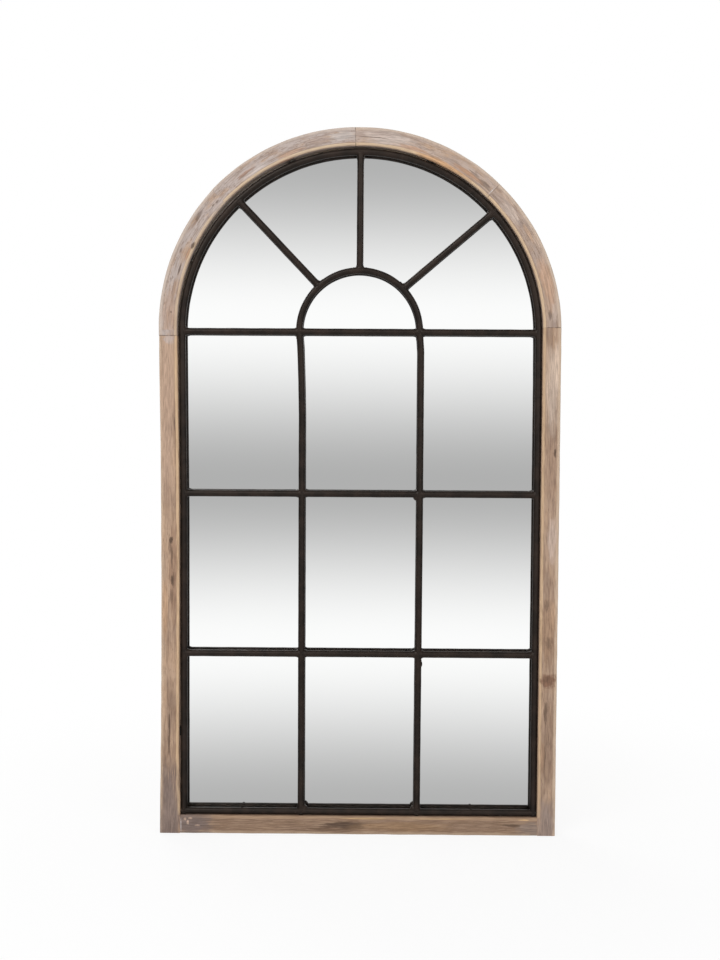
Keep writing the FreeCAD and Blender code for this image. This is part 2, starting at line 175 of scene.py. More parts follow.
def batten_section(rabbeted):
    """Section of a frame member as one face: X runs across from the opening, Y from front to back."""
    select_nothing()
    back = glass_front if rabbeted else timber_back
    middle = (timber_face / 2, (timber_front + back) / 2, 0)
    bpy.ops.mesh.primitive_plane_add(size=1, location=middle)
    section = bpy.context.object
    section.scale = (timber_face, back - timber_front, 1)
    settle(section)
    if rabbeted:
        pick(section, "FACE", everything)
        bpy.ops.mesh.bisect(plane_co=(rabbet_width, 0, 0), plane_no=(1, 0, 0))
        pick(section, "EDGE", lambda spot: same(spot.y, back) and spot.x > rabbet_width - same_place)
        bpy.ops.mesh.extrude_region_move(TRANSFORM_OT_translate={"value": (0, timber_back - back, 0)})
        bpy.ops.mesh.select_all(action="SELECT")
        bpy.ops.mesh.dissolve_limited(angle_limit=math.radians(1))
    for across, radius, segments in ((0, inner_round, 6), (timber_face, outer_round, 4)):
        pick(section, "VERT", lambda spot: same(spot.x, across) and same(spot.y, timber_front))
        bpy.ops.mesh.bevel(offset=radius, segments=segments, affect="VERTICES")
    pick(section, "EDGE", lambda spot: same(spot.y, timber_front))
    bpy.ops.mesh.subdivide(number_cuts=face_cuts)
    pick(section, "EDGE", lambda spot: same(spot.x, timber_face))
    bpy.ops.mesh.subdivide(number_cuts=side_cuts)
    leave()
    wear = {}
    for name, worn_share in (("edge", inner_wear_and_shade), ("rim", outer_wear)):
        wear[name] = [worn_share(vertex.co.x, vertex.co.y) for vertex in section.data.vertices]
        values = section.data.attributes.new(name, "FLOAT", "POINT")
        values.data.foreach_set("value", wear[name])
    exposed = [vertex.index for vertex in section.data.vertices if vertex.co.y < glass_front - same_place]
    worn = section.vertex_groups.new(name="worn")
    for number in exposed:
        most = max(wear["edge"][number], wear["rim"][number])
        worn.add([number], wear_least + (1 - wear_least) * most, "REPLACE")
    return section


def chamfer_ends(piece):
    """Takes the arris off the two end faces, which have the most corners, and brings them to length."""
    close_up(piece)
    pick(piece, "FACE", lambda spot: False)
    leave()
    most = max(len(face.vertices) for face in piece.data.polygons)
    for face in piece.data.polygons:
        face.select = len(face.vertices) == most
    bpy.ops.object.mode_set(mode="EDIT")
    bpy.ops.mesh.inset(thickness=end_chamfer, depth=end_chamfer, use_individual=True)
    leave()


def straight_batten(section, length):
    """Draws a section out along Z."""
    pick(section, "FACE", everything)
    bpy.ops.transform.translate(value=(0, 0, end_chamfer))
    run_out((0, 0, length - 2 * end_chamfer), round(length / batten_step))
    leave()
    chamfer_ends(section)


worn_timber = bpy.data.textures.new("worn_timber", "CLOUDS")
worn_timber.noise_scale = 0.03
worn_timber.noise_depth = 1


def dress_timber(batten, name, node, material):
    """Wears a batten's edges unevenly and puts it in the place of its plain solid."""
    close_up(batten)
    apply_modifier(batten, "DISPLACE", texture=worn_timber, texture_coords="GLOBAL",
                   strength=wear_depth, mid_level=0.5, vertex_group="worn")
    smooth(batten, timber_crease)
    batten.name = name
    batten.data.materials.append(material)
    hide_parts(node)
    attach(batten, "frame")


def paint(red, green, blue):
    """A colour read off a screen, 0 to 255 each, as the linear colour that a shader takes."""
    def linear(level):
        share = level / 255
        return share / 12.92 if share <= 0.04045 else ((share + 0.055) / 1.055) ** 2.4
    return (linear(red), linear(green), linear(blue), 1)


def shader_node(tree, kind, inputs, **settings):
    """Adds a node, sets its options, and links or fills its inputs, named or numbered."""
    made = tree.nodes.new("ShaderNode" + kind)
    for name, value in settings.items():
        setattr(made, name, value)
    for socket, value in inputs.items():
        if isinstance(value, bpy.types.NodeSocket):
            tree.links.new(value, made.inputs[socket])
        else:
            made.inputs[socket].default_value = value
    return made


def mixed(tree, share, first, second):
    """Colour that goes from the first to the second as the share goes from 0 to 1."""
    made = shader_node(tree, "Mix", {0: share, 6: first, 7: second}, data_type="RGBA")
    return made.outputs[2]


def worked(tree, operation, *values):
    return shader_node(tree, "Math", dict(enumerate(values)), operation=operation).outputs[0]


def vector_worked(tree, operation, *values):
    return shader_node(tree, "VectorMath", dict(enumerate(values)), operation=operation).outputs


def stepped(tree, value, low, high):
    """Smooth step from 0 to 1 as the value goes from low to high."""
    made = shader_node(tree, "MapRange", {"Value": value, "From Min": low, "From Max": high},
                       interpolation_type="SMOOTHSTEP")
    return made.outputs["Result"]


def faded(tree, value, low, high, share):
    """Smooth step from 0 to a share as the value goes from low to high."""
    return worked(tree, "MULTIPLY", stepped(tree, value, low, high), share)


def blended(tree, first, second, share):
    """Two fields added up, the first by a share and the second by the rest."""
    return worked(tree, "MULTIPLY_ADD", first, share, worked(tree, "MULTIPLY", second, 1 - share))


def streaks(tree, vector, size, detail=3):
    """Noise drawn out to a size, in metres along each axis."""
    drawn = shader_node(tree, "Mapping", {"Vector": vector, "Scale": [1 / length for length in size]})
    noise = shader_node(tree, "TexNoise", {"Vector": drawn.outputs[0], "Scale": 1.0, "Detail": detail,
                                           "Roughness": 0.6})
    return noise.outputs[0]


def effect_group(name, inputs, outputs):
    """Empty shader group, with its entry and exit sockets."""
    group = bpy.data.node_groups.new(name, "ShaderNodeTree")
    for socket, kind in inputs.items():
        group.interface.new_socket(socket, in_out="INPUT", socket_type="NodeSocket" + kind)
    for socket, kind in outputs.items():
        group.interface.new_socket(socket, in_out="OUTPUT", socket_type="NodeSocket" + kind)
    entry = group.nodes.new("NodeGroupInput").outputs
    leaving = group.nodes.new("NodeGroupOutput").inputs
    return group, entry, leaving


pine_group, pine_entry, pine_exit = effect_group(
    "weathered pine",
    {"Grain": "Vector", "Edge": "Float", "Rim": "Float", "Wash": "Float", "Age": "Float", "Bare_highlight": "Float"},
    {"Color": "Color", "Roughness": "Float", "Height": "Float", "Fibre": "Float"})
wash, falloff_shade, bare_and_highlight = pine_entry["Wash"], pine_entry["Age"], pine_entry["Bare_highlight"]


def grain_streaks(length, width, detail):
    """Streaks of the pine, drawn out along its grain."""
    return streaks(pine_group, pine_entry["Grain"], (length, width, width), detail)


fibre = grain_streaks(0.022, 0.0014, 4)
band = grain_streaks(0.11, 0.0042, 4)
tone = grain_streaks(0.085, 0.020, 3)
patch = grain_streaks(0.030, 0.008, 5)
crack = grain_streaks(0.014, 0.0020, 2)
pore = grain_streaks(0.0045, 0.0017, 2)
wood_share = stepped(pine_group, blended(pine_group, tone, band, 0.6), 0.37, 0.62)
plain_wood = mixed(pine_group, wood_share, paint(143, 114, 93), paint(194, 161, 134))
# Painted shade: boards lower in the frame are mixed towards a darker brown, for the light falling off
# towards the foot.
falloff_shaded_wood = mixed(pine_group, falloff_shade, plain_wood, paint(137, 110, 89))
fibre_pale = faded(pine_group, fibre, 0.5, 0.34, 0.35)
fibre_dark = faded(pine_group, fibre, 0.5, 0.68, 0.6)
lit_fibre = mixed(pine_group, fibre_pale, falloff_shaded_wood, paint(204, 176, 150))
fibred = mixed(pine_group, fibre_dark, lit_fibre, paint(112, 88, 72))
wash_mask = faded(pine_group, blended(pine_group, fibre, patch, 0.3), 0.31, 0.57, wash)
wash_thin = stepped(pine_group, fibre, 0.42, 0.66)
wash_colour = mixed(pine_group, wash_thin, paint(194, 182, 178), paint(162, 146, 138))
washed = mixed(pine_group, wash_mask, fibred, wash_colour)
crack_share = worked(pine_group, "MULTIPLY_ADD", wash, -0.15, 0.7)
crack_mask = faded(pine_group, crack, 0.6, 0.74, crack_share)
cracked = mixed(pine_group, crack_mask, washed, paint(104, 82, 68))
pore_share = worked(pine_group, "MULTIPLY", faded(pine_group, tone, 0.44, 0.58, wash), 0.6)
pore_mask = faded(pine_group, pore, 0.52, 0.7, pore_share)
pored = mixed(pine_group, pore_mask, cracked, paint(120, 100, 90))
unevenness = worked(pine_group, "SUBTRACT", patch, 0.5)
edge_field = worked(pine_group, "MULTIPLY_ADD", unevenness, 0.9, pine_entry["Edge"])
# Painted shadow: a thin darker line along the face side of the bare edge strip.
shadow_line_mask = worked(pine_group, "MULTIPLY", faded(pine_group, edge_field, 0.0, 0.4, bare_and_highlight), 0.4)
shadow_lined = mixed(pine_group, shadow_line_mask, pored, paint(140, 108, 84))
scoured = worked(pine_group, "MULTIPLY_ADD", stepped(pine_group, fibre, 0.62, 0.42), 0.3, 0.7)
edge_share = worked(pine_group, "MULTIPLY", scoured, bare_and_highlight)
# Pale inner edge strip: partly sanded bare wood and partly a painted highlight on the round-over, its
# strength set board by board.
bare_highlight_mask = faded(pine_group, edge_field, 0.4, 0.85, edge_share)
clean_lit_wood = mixed(pine_group, falloff_shade, paint(216, 184, 146), paint(180, 150, 122))
half_wash = worked(pine_group, "MULTIPLY", wash, 0.5)
bare_highlight_wood = mixed(pine_group, half_wash, clean_lit_wood, paint(203, 189, 168))
bared = mixed(pine_group, bare_highlight_mask, shadow_lined, bare_highlight_wood)
rim_field = worked(pine_group, "MULTIPLY_ADD", unevenness, 0.7, pine_entry["Rim"])
rim_mask = faded(pine_group, rim_field, 0.1, 0.8, scoured)
pale_wood = mixed(pine_group, falloff_shade, paint(208, 182, 156), paint(182, 156, 132))
pale_rim = mixed(pine_group, wash, pale_wood, paint(204, 189, 178))
rimmed = mixed(pine_group, rim_mask, bared, pale_rim)
# Painted shade: a darker band down the inner side of the opening, where the ring shades the timber.
painted_shade_mask = faded(pine_group, pine_entry["Edge"], 0.3, -1.0, 0.75)
shade_painted = mixed(pine_group, painted_shade_mask, rimmed, paint(120, 102, 78))
pine_group.links.new(shade_painted, pine_exit["Color"])
pine_group.links.new(worked(pine_group, "MULTIPLY_ADD", wash_mask, 0.2, 0.58), pine_exit["Roughness"])
relief = worked(pine_group, "SUBTRACT", worked(pine_group, "MULTIPLY", fibre, 0.6), crack_mask)
pine_group.links.new(relief, pine_exit["Height"])
pine_group.links.new(fibre, pine_exit["Fibre"])

stain_group, stain_entry, stain_exit = effect_group("stain", {"Place": "Vector"}, {"Mask": "Float"})
stain_place = stain_entry["Place"]
stain_noise = shader_node(stain_group, "TexNoise", {"Vector": stain_place, "Scale": 2.2, "Detail": 3.0})
stain_reach = vector_worked(stain_group, "LENGTH", stain_place)["Value"]
stain_edge = worked(stain_group, "MULTIPLY_ADD", stain_noise.outputs[0], 0.9, -0.45)
stain_ragged = worked(stain_group, "ADD", stain_reach, stain_edge)
stain_group.links.new(stepped(stain_group, stain_ragged, 1.0, 0.35), stain_exit["Mask"])


def shaded(colour, share):
    """A colour made darker or lighter."""
    return tuple(level * share for level in colour[:3]) + (1,)


def straight_grain(angle):
    """Grain that runs straight, at an angle up from the right: in a shader, and for a spot on the face."""
    turn = math.radians(angle)

    def in_shader(tree, place):
        return shader_node(tree, "Mapping", {"Vector": place, "Rotation": (0, turn, 0)}).outputs[0]

    def of_spot(x, z):
        return x * math.cos(turn) + z * math.sin(turn), z * math.cos(turn) - x * math.sin(turn)

    return in_shader, of_spot


def new_finish(name):
    """Plain finish to be filled in: the material, its tree, its shader and the place on the piece."""
    material = bpy.data.materials.new(name)
    material.use_nodes = True
    tree = material.node_tree
    place = shader_node(tree, "TexCoord", {}).outputs["Object"]
    return material, tree, tree.nodes["Principled BSDF"], place


def bumped(tree, height, strength, depth):
    """Gives a finish a fine relief."""
    bump = shader_node(tree, "Bump", {"Height": height, "Strength": strength, "Distance": depth})
    tree.links.new(bump.outputs[0], tree.nodes["Principled BSDF"].inputs["Normal"])


stain_depth = 0.02             # how far a stain soaks into the board


def pine(name, grain, shift, wash, falloff_shade, bare_and_highlight, rim, stains, joints):
    """Weathered pine for one board. Stains are ragged ovals on the face, drawn out along the grain, as
    (x, z, half length, half width, colour, strength), and joints are planes as (point, direction)."""
    material, tree, shader, place = new_finish(name)
    in_shader, of_spot = grain
    along_grain = in_shader(tree, place)
    own_grain = vector_worked(tree, "ADD", along_grain, shift)[0]
    edge = shader_node(tree, "Attribute", {}, attribute_name="edge").outputs["Fac"]
    wood = shader_node(tree, "Group", {}, node_tree=pine_group)
    tree.links.new(own_grain, wood.inputs["Grain"])
    tree.links.new(edge, wood.inputs["Edge"])
    rubbed = shader_node(tree, "Attribute", {}, attribute_name="rim").outputs["Fac"]
    tree.links.new(worked(tree, "MULTIPLY", rubbed, rim), wood.inputs["Rim"])
    wood.inputs["Wash"].default_value = wash
    wood.inputs["Age"].default_value = falloff_shade
    wood.inputs["Bare_highlight"].default_value = bare_and_highlight
    colour = wood.outputs["Color"]
    figure = stepped(tree, wood.outputs["Fibre"], 0.36, 0.66)
    for x, z, half_length, half_width, stain_colour, strength in stains:
        along, across = of_spot(x, z)
        middle = (along, timber_front, across)
        reaches = (half_length, stain_depth, half_width)
        spot = shader_node(tree, "Mapping", {"Vector": along_grain, "Location": middle, "Scale": reaches},
                           vector_type="TEXTURE")
        stain = shader_node(tree, "Group", {}, node_tree=stain_group)
        tree.links.new(spot.outputs[0], stain.inputs["Place"])
        reach = stain.outputs["Mask"]
        soaked = worked(tree, "MULTIPLY_ADD", reach, 0.4, wood.outputs["Fibre"])
        drawn_in = faded(tree, soaked, 0.5, 0.75, strength)
        tinted = mixed(tree, figure, shaded(stain_colour, 1.15), shaded(stain_colour, 0.72))
        colour = mixed(tree, worked(tree, "MULTIPLY", reach, drawn_in), colour, tinted)
    for joint_point, direction in joints:
        offset = vector_worked(tree, "SUBTRACT", place, joint_point)[0]
        off_joint = vector_worked(tree, "DOT_PRODUCT", offset, direction)["Value"]
        gap = worked(tree, "ABSOLUTE", off_joint)
        packed = faded(tree, streaks(tree, place, (0.008, 0.008, 0.008), 2), 0.3, 0.6, 0.75)
        dirt = faded(tree, gap, 0.0009, 0.0002, packed)
        colour = mixed(tree, dirt, colour, paint(92, 77, 68))
    tree.links.new(colour, shader.inputs["Base Color"])
    tree.links.new(wood.outputs["Roughness"], shader.inputs["Roughness"])
    bumped(tree, wood.outputs["Height"], 0.5, 0.0006)
    shader.inputs["Specular IOR Level"].default_value = 0.25
    return material


dark_stain = paint(84, 66, 54)
grey_stain = paint(124, 109, 104)
pale_stain = paint(186, 174, 170)
knot_stain = paint(126, 94, 75)
left_seam_drop = 0.0026        # the shoulder joints were sawn a little off their marks
right_seam_rise = 0.0064
left_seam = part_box("left_stile")[1].z - left_seam_drop
right_seam = spring + right_seam_rise
left_stile_stains = [
    (-0.2845, 0.4100, 0.110, 0.0100, paint(144, 112, 90), 0.6),
    (-0.2975, 0.3500, 0.065, 0.0065, paint(198, 160, 128), 0.6),
    (-0.2890, 0.4430, 0.015, 0.0050, paint(118, 94, 78), 0.55),
    (-0.2842, 0.3950, 0.018, 0.0040, paint(112, 86, 70), 0.6),
    (-0.2882, 0.4554, 0.008, 0.0042, dark_stain, 0.9),
    (-0.2870, 0.4290, 0.024, 0.0026, dark_stain, 0.5),
    (-0.2867, 0.3938, 0.011, 0.0034, dark_stain, 0.75),
    (-0.2874, 0.3700, 0.016, 0.0040, dark_stain, 0.45),
    (-0.2915, 0.1680, 0.030, 0.0018, dark_stain, 0.85),
    (-0.2920, 0.1380, 0.022, 0.0022, dark_stain, 0.7),
    (-0.2829, 0.6345, 0.016, 0.0020, dark_stain, 0.65),
    (-0.2940, 0.6800, 0.240, 0.0160, paint(196, 166, 144), 0.6),
    (-0.2910, 0.7620, 0.010, 0.0120, pale_stain, 0.6),
    (-0.2910, 0.0100, 0.150, 0.0220, grey_stain, 0.8),
]
right_stile_stains = [
    (0.2910, 0.5700, 0.060, 0.0160, paint(156, 128, 108), 0.5),
    (0.2910, 0.3200, 0.075, 0.0160, paint(150, 118, 92), 0.55),
    (0.2918, 0.2418, 0.0160, 0.0180, knot_stain, 0.95),
    (0.2890, 0.2440, 0.0080, 0.0070, dark_stain, 0.3),
    (0.2880, 0.1930, 0.024, 0.0040, dark_stain, 0.85),
    (0.2872, 0.1240, 0.026, 0.0026, dark_stain, 0.9),
    (0.2881, 0.3577, 0.015, 0.0050, dark_stain, 0.5),
    (0.2920, 0.3006, 0.015, 0.0080, dark_stain, 0.35),
    (0.2973, 0.5922, 0.010, 0.0022, dark_stain, 0.9),
    (0.2930, 0.6920, 0.095, 0.0130, paint(198, 178, 162), 0.75),
    (0.2850, 0.7000, 0.090, 0.0060, paint(204, 178, 156), 0.6),
    (0.2950, 0.4600, 0.050, 0.0100, paint(200, 178, 164), 0.75),
    (0.2985, 0.7280, 0.050, 0.0060, paint(218, 194, 174), 0.65),
    (0.2978, 0.3450, 0.030, 0.0050, paint(192, 158, 130), 0.6),
    (0.2845, 0.1250, 0.034, 0.0045, paint(186, 150, 120), 0.6),
    (0.2910, 0.1500, 0.110, 0.0140, paint(142, 116, 97), 0.5),
    (0.2910, 0.0100, 0.070, 0.0180, paint(150, 133, 125), 0.75),
]


def push(piece, test, move, reach):
    """Moves the vertices where the test says, and drags those within reach along."""
    pick(piece, "VERT", test)
    bpy.ops.transform.translate(value=move, use_proportional_edit=True, proportional_edit_falloff="SMOOTH",
                                proportional_size=reach)
    leave()


def stile(name, node, side, height, bow, foot, material):
    """Stile on one side: how far its middle bows in and its ends out, and how much wider its foot is."""
    batten = batten_section(False)
    straight_batten(batten, height)
    pick(batten, "VERT", lambda spot: spot.z < timber_face and spot.x < inner_round
         and spot.y < timber_front + inner_round + same_place)
    bpy.ops.transform.resize(value=(1, 0, 1), center_override=(0, timber_front, 0))
    leave()
    beside_rail = [vertex.index for vertex in batten.data.vertices
                   if vertex.co.z < timber_face and vertex.co.x < timber_face / 2]
    for number in beside_rail:
        batten.data.attributes["edge"].data[number].value = 0
    ledge = timber_face - rabbet_width
    cut_low = Vector((-rabbet_overcut, glass_front, ledge))
    cut_high = Vector((rabbet_width, timber_back + rabbet_overcut, height + rabbet_overcut))
    select_nothing()
    bpy.ops.mesh.primitive_cube_add(size=1, location=(cut_low + cut_high) / 2)
    cutter = bpy.context.object
    cutter.scale = cut_high - cut_low
    settle(cutter)
    apply_modifier(batten, "BOOLEAN", object=cutter, operation="DIFFERENCE")
    bpy.data.objects.remove(cutter)
    batten.location.x = side * opening_half
    batten.scale.x = side
    settle(batten)
    middle = height / 2
    if bow:
        push(batten, lambda spot: abs(spot.z - middle) < batten_step, (-side * bow, 0, 0), middle)
        push(batten, lambda spot: spot.z < batten_step, (side * bow, 0, 0), middle / 2)
        push(batten, lambda spot: spot.z > height - batten_step, (side * bow, 0, 0), middle / 2)
    if foot:
        pick(batten, "VERT", lambda spot: spot.z < timber_face)
        outside = (side * (opening_half + timber_face + bow), 0, 0)
        bpy.ops.transform.resize(value=(1 + foot / timber_face, 1, 1), center_override=outside,
                                 use_proportional_edit=True, proportional_edit_falloff="SMOOTH",
                                 proportional_size=foot_reach)
        leave()
    dress_timber(batten, name, node, material)


upright = straight_grain(90)
left_bow = 0.0014
left_foot = 0.0032
foot_reach = 0.12
stile("stile_left_pine", "left_stile", -1, left_seam, left_bow, left_foot, pine(
    "pine left stile", upright, (0.31, 0.7, 0.17), 0.12, 0.05, 0.9, 0.8, left_stile_stains,
    [((0, 0, left_seam), (0, 0, 1))]))
stile("stile_right_pine", "right_stile", 1, right_seam, 0, 0, pine(
    "pine right stile", upright, (1.73, 0.2, 0.64), 0.15, 0.1, 0.7, 1.3, right_stile_stains,
    [((0, 0, right_seam), (0, 0, 1))]))

# Bottom rail
# One pine batten between the feet of the stiles, butted to them and doweled.
# It is a browner board than the others, darkened further by painted shade for the light falling off towards
# the foot, and its ends and nicks are stained grey.
rail_left = left_foot - opening_half - left_bow
nick_wood = paint(204, 175, 155)
rail_stains = [
    (-0.2620, 0.0150, 0.056, 0.0260, grey_stain, 0.85),
    (0.2700, 0.0100, 0.034, 0.0160, paint(144, 127, 117), 0.75),
    (rail_left + 0.0014, 0.0120, 0.0020, 0.0160, pale_stain, 0.7),
    (-0.2672, 0.0222, 0.0030, 0.0032, nick_wood, 0.85),
    (-0.2590, 0.0236, 0.0044, 0.0022, nick_wood, 0.8),
    (-0.2630, 0.0172, 0.0026, 0.0052, nick_wood, 0.8),
    (-0.2480, 0.0125, 0.006, 0.0020, nick_wood, 0.6),
    (0.2390, 0.0155, 0.020, 0.0034, dark_stain, 0.75),
    (0.2570, 0.0245, 0.012, 0.0014, paint(216, 178, 132), 0.9),
    (-0.0350, 0.0070, 0.070, 0.0070, paint(120, 95, 76), 0.65),
    (-0.0196, 0.0139, 0.052, 0.0080, dark_stain, 0.85),
    (0.0700, 0.0120, 0.110, 0.0110, paint(158, 126, 94), 0.6),
    (0.0100, 0.0250, 0.050, 0.0018, paint(202, 168, 124), 0.7),
    (0.1300, 0.0252, 0.060, 0.0014, paint(196, 162, 120), 0.6),
]
rail = batten_section(True)
straight_batten(rail, opening_half - rail_left)
rail.rotation_euler.y = math.pi / 2
rail.location = (rail_left, 0, timber_face)
settle(rail)
dress_timber(rail, "rail_bottom_pine", "bottom_rail", pine(
    "pine bottom rail", straight_grain(0), (0.9, 0.4, 0.33), 0.05, 0.8, 0.45, 1.1, rail_stains, []))

# Arch
# Four segments sawn from pine boards to an eighth of a circle each and doweled end to end by hand, so
# that they stand a little out of round. The finish was brushed along them, and more whitewash is left.
arch_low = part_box("arch_lower_left")[0]
arch_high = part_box("arch_lower_right")[1]
arch_centre = Vector(((arch_low.x + arch_high.x) / 2, 0, spring))
arch_inner = (arch_high.x - arch_low.x) / 2 - timber_face
arch_middle = arch_inner + timber_face / 2
seam_foot = math.degrees(math.asin((right_seam - spring) / arch_middle))
seam_right = 46.5              # joints in degrees up from the right shoulder
seam_top = 91.6
seam_left = 136.9
arch_step = 1.5                # degrees between rings of vertices


def round_arch(angle, radius=1.0):
    """Offset from the arch's centre at an angle in degrees up from the right."""
    turn = math.radians(angle)
    return Vector((radius * math.cos(turn), 0, radius * math.sin(turn)))


def round_in_shader(tree, place):
    """Grain that runs round the arch."""
    offset = vector_worked(tree, "SUBTRACT", place, arch_centre)[0]
    split = shader_node(tree, "SeparateXYZ", {0: offset}).outputs
    turn = worked(tree, "ARCTAN2", split["Z"], split["X"])
    flat = shader_node(tree, "CombineXYZ", {"X": split["X"], "Z": split["Z"]}).outputs[0]
    across = vector_worked(tree, "LENGTH", flat)["Value"]
    along = worked(tree, "MULTIPLY", turn, arch_middle)
    return shader_node(tree, "CombineXYZ", {"X": along, "Y": split["Y"], "Z": across}).outputs[0]


def round_of_spot(x, z):
    return (math.atan2(z - arch_centre.z, x - arch_centre.x) * arch_middle,
            math.hypot(z - arch_centre.z, x - arch_centre.x))


def arch_segment(name, node, start, end, stilt, pivot, lean, material):
    """Segment from one angle to another, with a straight foot below its end where it has a stilt, leaning
    by some degrees about the arch at the pivot's angle."""
    segment = batten_section(True)
    pick(segment, "FACE", everything)
    bpy.ops.transform.translate(value=(arch_inner, 0, 0))
    leave()
    inset_angle = math.degrees(end_chamfer / arch_middle)
    segment.rotation_euler.y = -math.radians(start + inset_angle)
    segment.location = arch_centre
    settle(segment)
    sweep = end - start - inset_angle
    if not stilt:
        sweep -= inset_angle
    pick(segment, "FACE", everything)
    bpy.ops.mesh.spin(steps=round(sweep / arch_step), angle=math.radians(sweep),
                      center=arch_centre, axis=(0, 1, 0))
    if stilt:
        run_out((0, 0, end_chamfer - stilt), 2)
    leave()
    chamfer_ends(segment)
    pick(segment, "FACE", everything)
    bpy.ops.transform.rotate(value=math.radians(lean), orient_axis="Y",
                             center_override=arch_centre + round_arch(pivot, arch_middle))
    leave()
    dress_timber(segment, name, node, material)


def arch_seam(angle):
    return (arch_centre, round_arch(angle + 90))


seam_lap = 0.23                # what the left seam needs to stay shut where it stands out
segments = (
    ("arch_lower_right_pine", "arch_lower_right", seam_foot, seam_right, 0, 0, 0.2, 0.5, 0.1, 0.95, 1.4, [
        (0.2870, 0.8020, 0.012, 0.0040, dark_stain, 0.6),
        (0.2790, 0.8620, 0.020, 0.0020, dark_stain, 0.35),
        (0.2820, 0.8500, 0.060, 0.0120, paint(198, 160, 132), 0.6),
        (0.2530, 0.9240, 0.024, 0.0040, paint(200, 166, 138), 0.6),
        (0.2645, 0.9113, 0.018, 0.0040, paint(204, 180, 162), 0.6),
        (0.2205, 0.9754, 0.020, 0.0040, paint(206, 180, 160), 0.6),
        (0.2940, 0.8060, 0.020, 0.0050, paint(202, 182, 168), 0.65),
        (0.2400, 0.9390, 0.010, 0.0050, grey_stain, 0.45),
        (0.2250, 0.9560, 0.030, 0.0100, paint(198, 180, 168), 0.7)]),
    ("arch_upper_right_pine", "arch_upper_right", seam_right, seam_top, 0, seam_top, -0.17,
     0.65, 0.0, 0.95, 1.0, [
        (0.0400, 1.0650, 0.055, 0.0140, paint(204, 188, 178), 0.85),
        (0.1967, 0.9870, 0.0012, 0.0080, paint(206, 196, 190), 1.0),
        (0.1848, 0.9974, 0.018, 0.0060, dark_stain, 0.55),
        (0.1720, 1.0110, 0.012, 0.0030, dark_stain, 0.4),
        (0.1600, 1.0140, 0.040, 0.0050, paint(182, 142, 114), 0.75),
        (0.0780, 1.0500, 0.034, 0.0045, paint(190, 150, 122), 0.65),
        (0.0300, 1.0714, 0.028, 0.0060, paint(174, 156, 146), 0.7),
        (0.0180, 1.0665, 0.030, 0.0012, dark_stain, 0.7),
        (0.1200, 1.0280, 0.070, 0.0060, paint(200, 154, 112), 0.75)]),
    ("arch_upper_left_pine", "arch_upper_left", seam_top, seam_left + seam_lap, 0, seam_top, -0.75,
     0.95, 0.0, 0.95, 0.8, [
        (-0.0300, 1.0680, 0.030, 0.0100, paint(194, 184, 178), 0.7),
        (-0.0650, 1.0600, 0.030, 0.0100, paint(168, 147, 135), 0.6),
        (-0.1080, 1.0420, 0.034, 0.0050, paint(180, 146, 122), 0.7),
        (-0.1626, 1.0150, 0.034, 0.0060, paint(200, 188, 182), 0.7),
        (-0.1750, 1.0120, 0.022, 0.0036, paint(156, 120, 98), 0.65),
        (-0.1190, 1.0280, 0.030, 0.0040, paint(176, 134, 110), 0.7)]),
    ("arch_lower_left_pine", "arch_lower_left", seam_left - seam_lap, 180, spring - left_seam, 180, 0.7,
     0.95, 0.0, 0.8, 1.2, [
        (-0.2900, 0.8000, 0.060, 0.0150, paint(178, 147, 126), 0.55),
        (-0.2190, 0.9640, 0.030, 0.0110, paint(182, 168, 162), 0.75),
        (-0.2180, 0.9690, 0.005, 0.0022, dark_stain, 0.6),
        (-0.2240, 0.9640, 0.004, 0.0016, dark_stain, 0.6),
        (-0.2455, 0.9480, 0.014, 0.0040, dark_stain, 0.55),
        (-0.2548, 0.9030, 0.009, 0.0034, dark_stain, 0.85),
        (-0.2625, 0.8900, 0.015, 0.0034, paint(172, 134, 106), 0.7),
        (-0.2730, 0.8960, 0.006, 0.0020, dark_stain, 0.5),
        (-0.2750, 0.8670, 0.014, 0.0022, dark_stain, 0.7),
        (-0.2880, 0.8030, 0.003, 0.0020, dark_stain, 0.7)]),
)
for number, (name, node, start, end, stilt, pivot, lean, *finish, stains) in enumerate(segments):
    far_seam = arch_seam(end)
    if stilt:
        far_seam = ((0, 0, left_seam), (0, 0, 1))
    board = pine("pine " + node.replace("_", " "), (round_in_shader, round_of_spot),
                 (0.37 * number, 0.6, 0.23 * number), *finish, stains, [arch_seam(start), far_seam])
    arch_segment(name, node, start, end, stilt, pivot, lean, board)

# Dowels
# Turned beech pins with a fine fleck, glued into holes across the seven joints of the timber.
# They are hidden once the frame is together.
def finish_node(node, material):
    """Gives a piece that keeps its plain shape its own finish."""
    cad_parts[node].material_slots[0].material = material


beech, beech_tree, beech_shader, beech_place = new_finish("beech dowel")
fleck = streaks(beech_tree, beech_place, (0.002, 0.002, 0.012))
fleck_share = stepped(beech_tree, fleck, 0.35, 0.7)
beech_colour = mixed(beech_tree, fleck_share, paint(214, 178, 140), paint(188, 146, 108))
beech_tree.links.new(beech_colour, beech_shader.inputs["Base Color"])
beech_rough = worked(beech_tree, "MULTIPLY_ADD", fleck, 0.3, 0.45)
beech_tree.links.new(beech_rough, beech_shader.inputs["Roughness"])
finish_node("frame_dowels", beech)

# Ring of the grille
# Round iron rod bent to the arch with two straight legs, and a base rod mitred and welded to their feet.
# The whole grille is sprayed with a satin brown-black paint.
ring_low, ring_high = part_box("ring_bent_rod")
base_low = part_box("ring_base_rod")[0]
rod_radius = (ring_high.y - ring_low.y) / 2
paint_film = 0.0002
rod_y = (ring_high.y + ring_low.y) / 2
ring_half = (ring_high.x - ring_low.x) / 2 - rod_radius
ring_bottom = base_low.z + rod_radius
rod_sides = 24
rod_step = 0.006
rod_waver = 0.0004             # unevenness left by the bending and the paint
rod_crease = 50                # degrees past which an edge of the iron stays sharp
bend_steps = 120               # rings of vertices round a bent arch


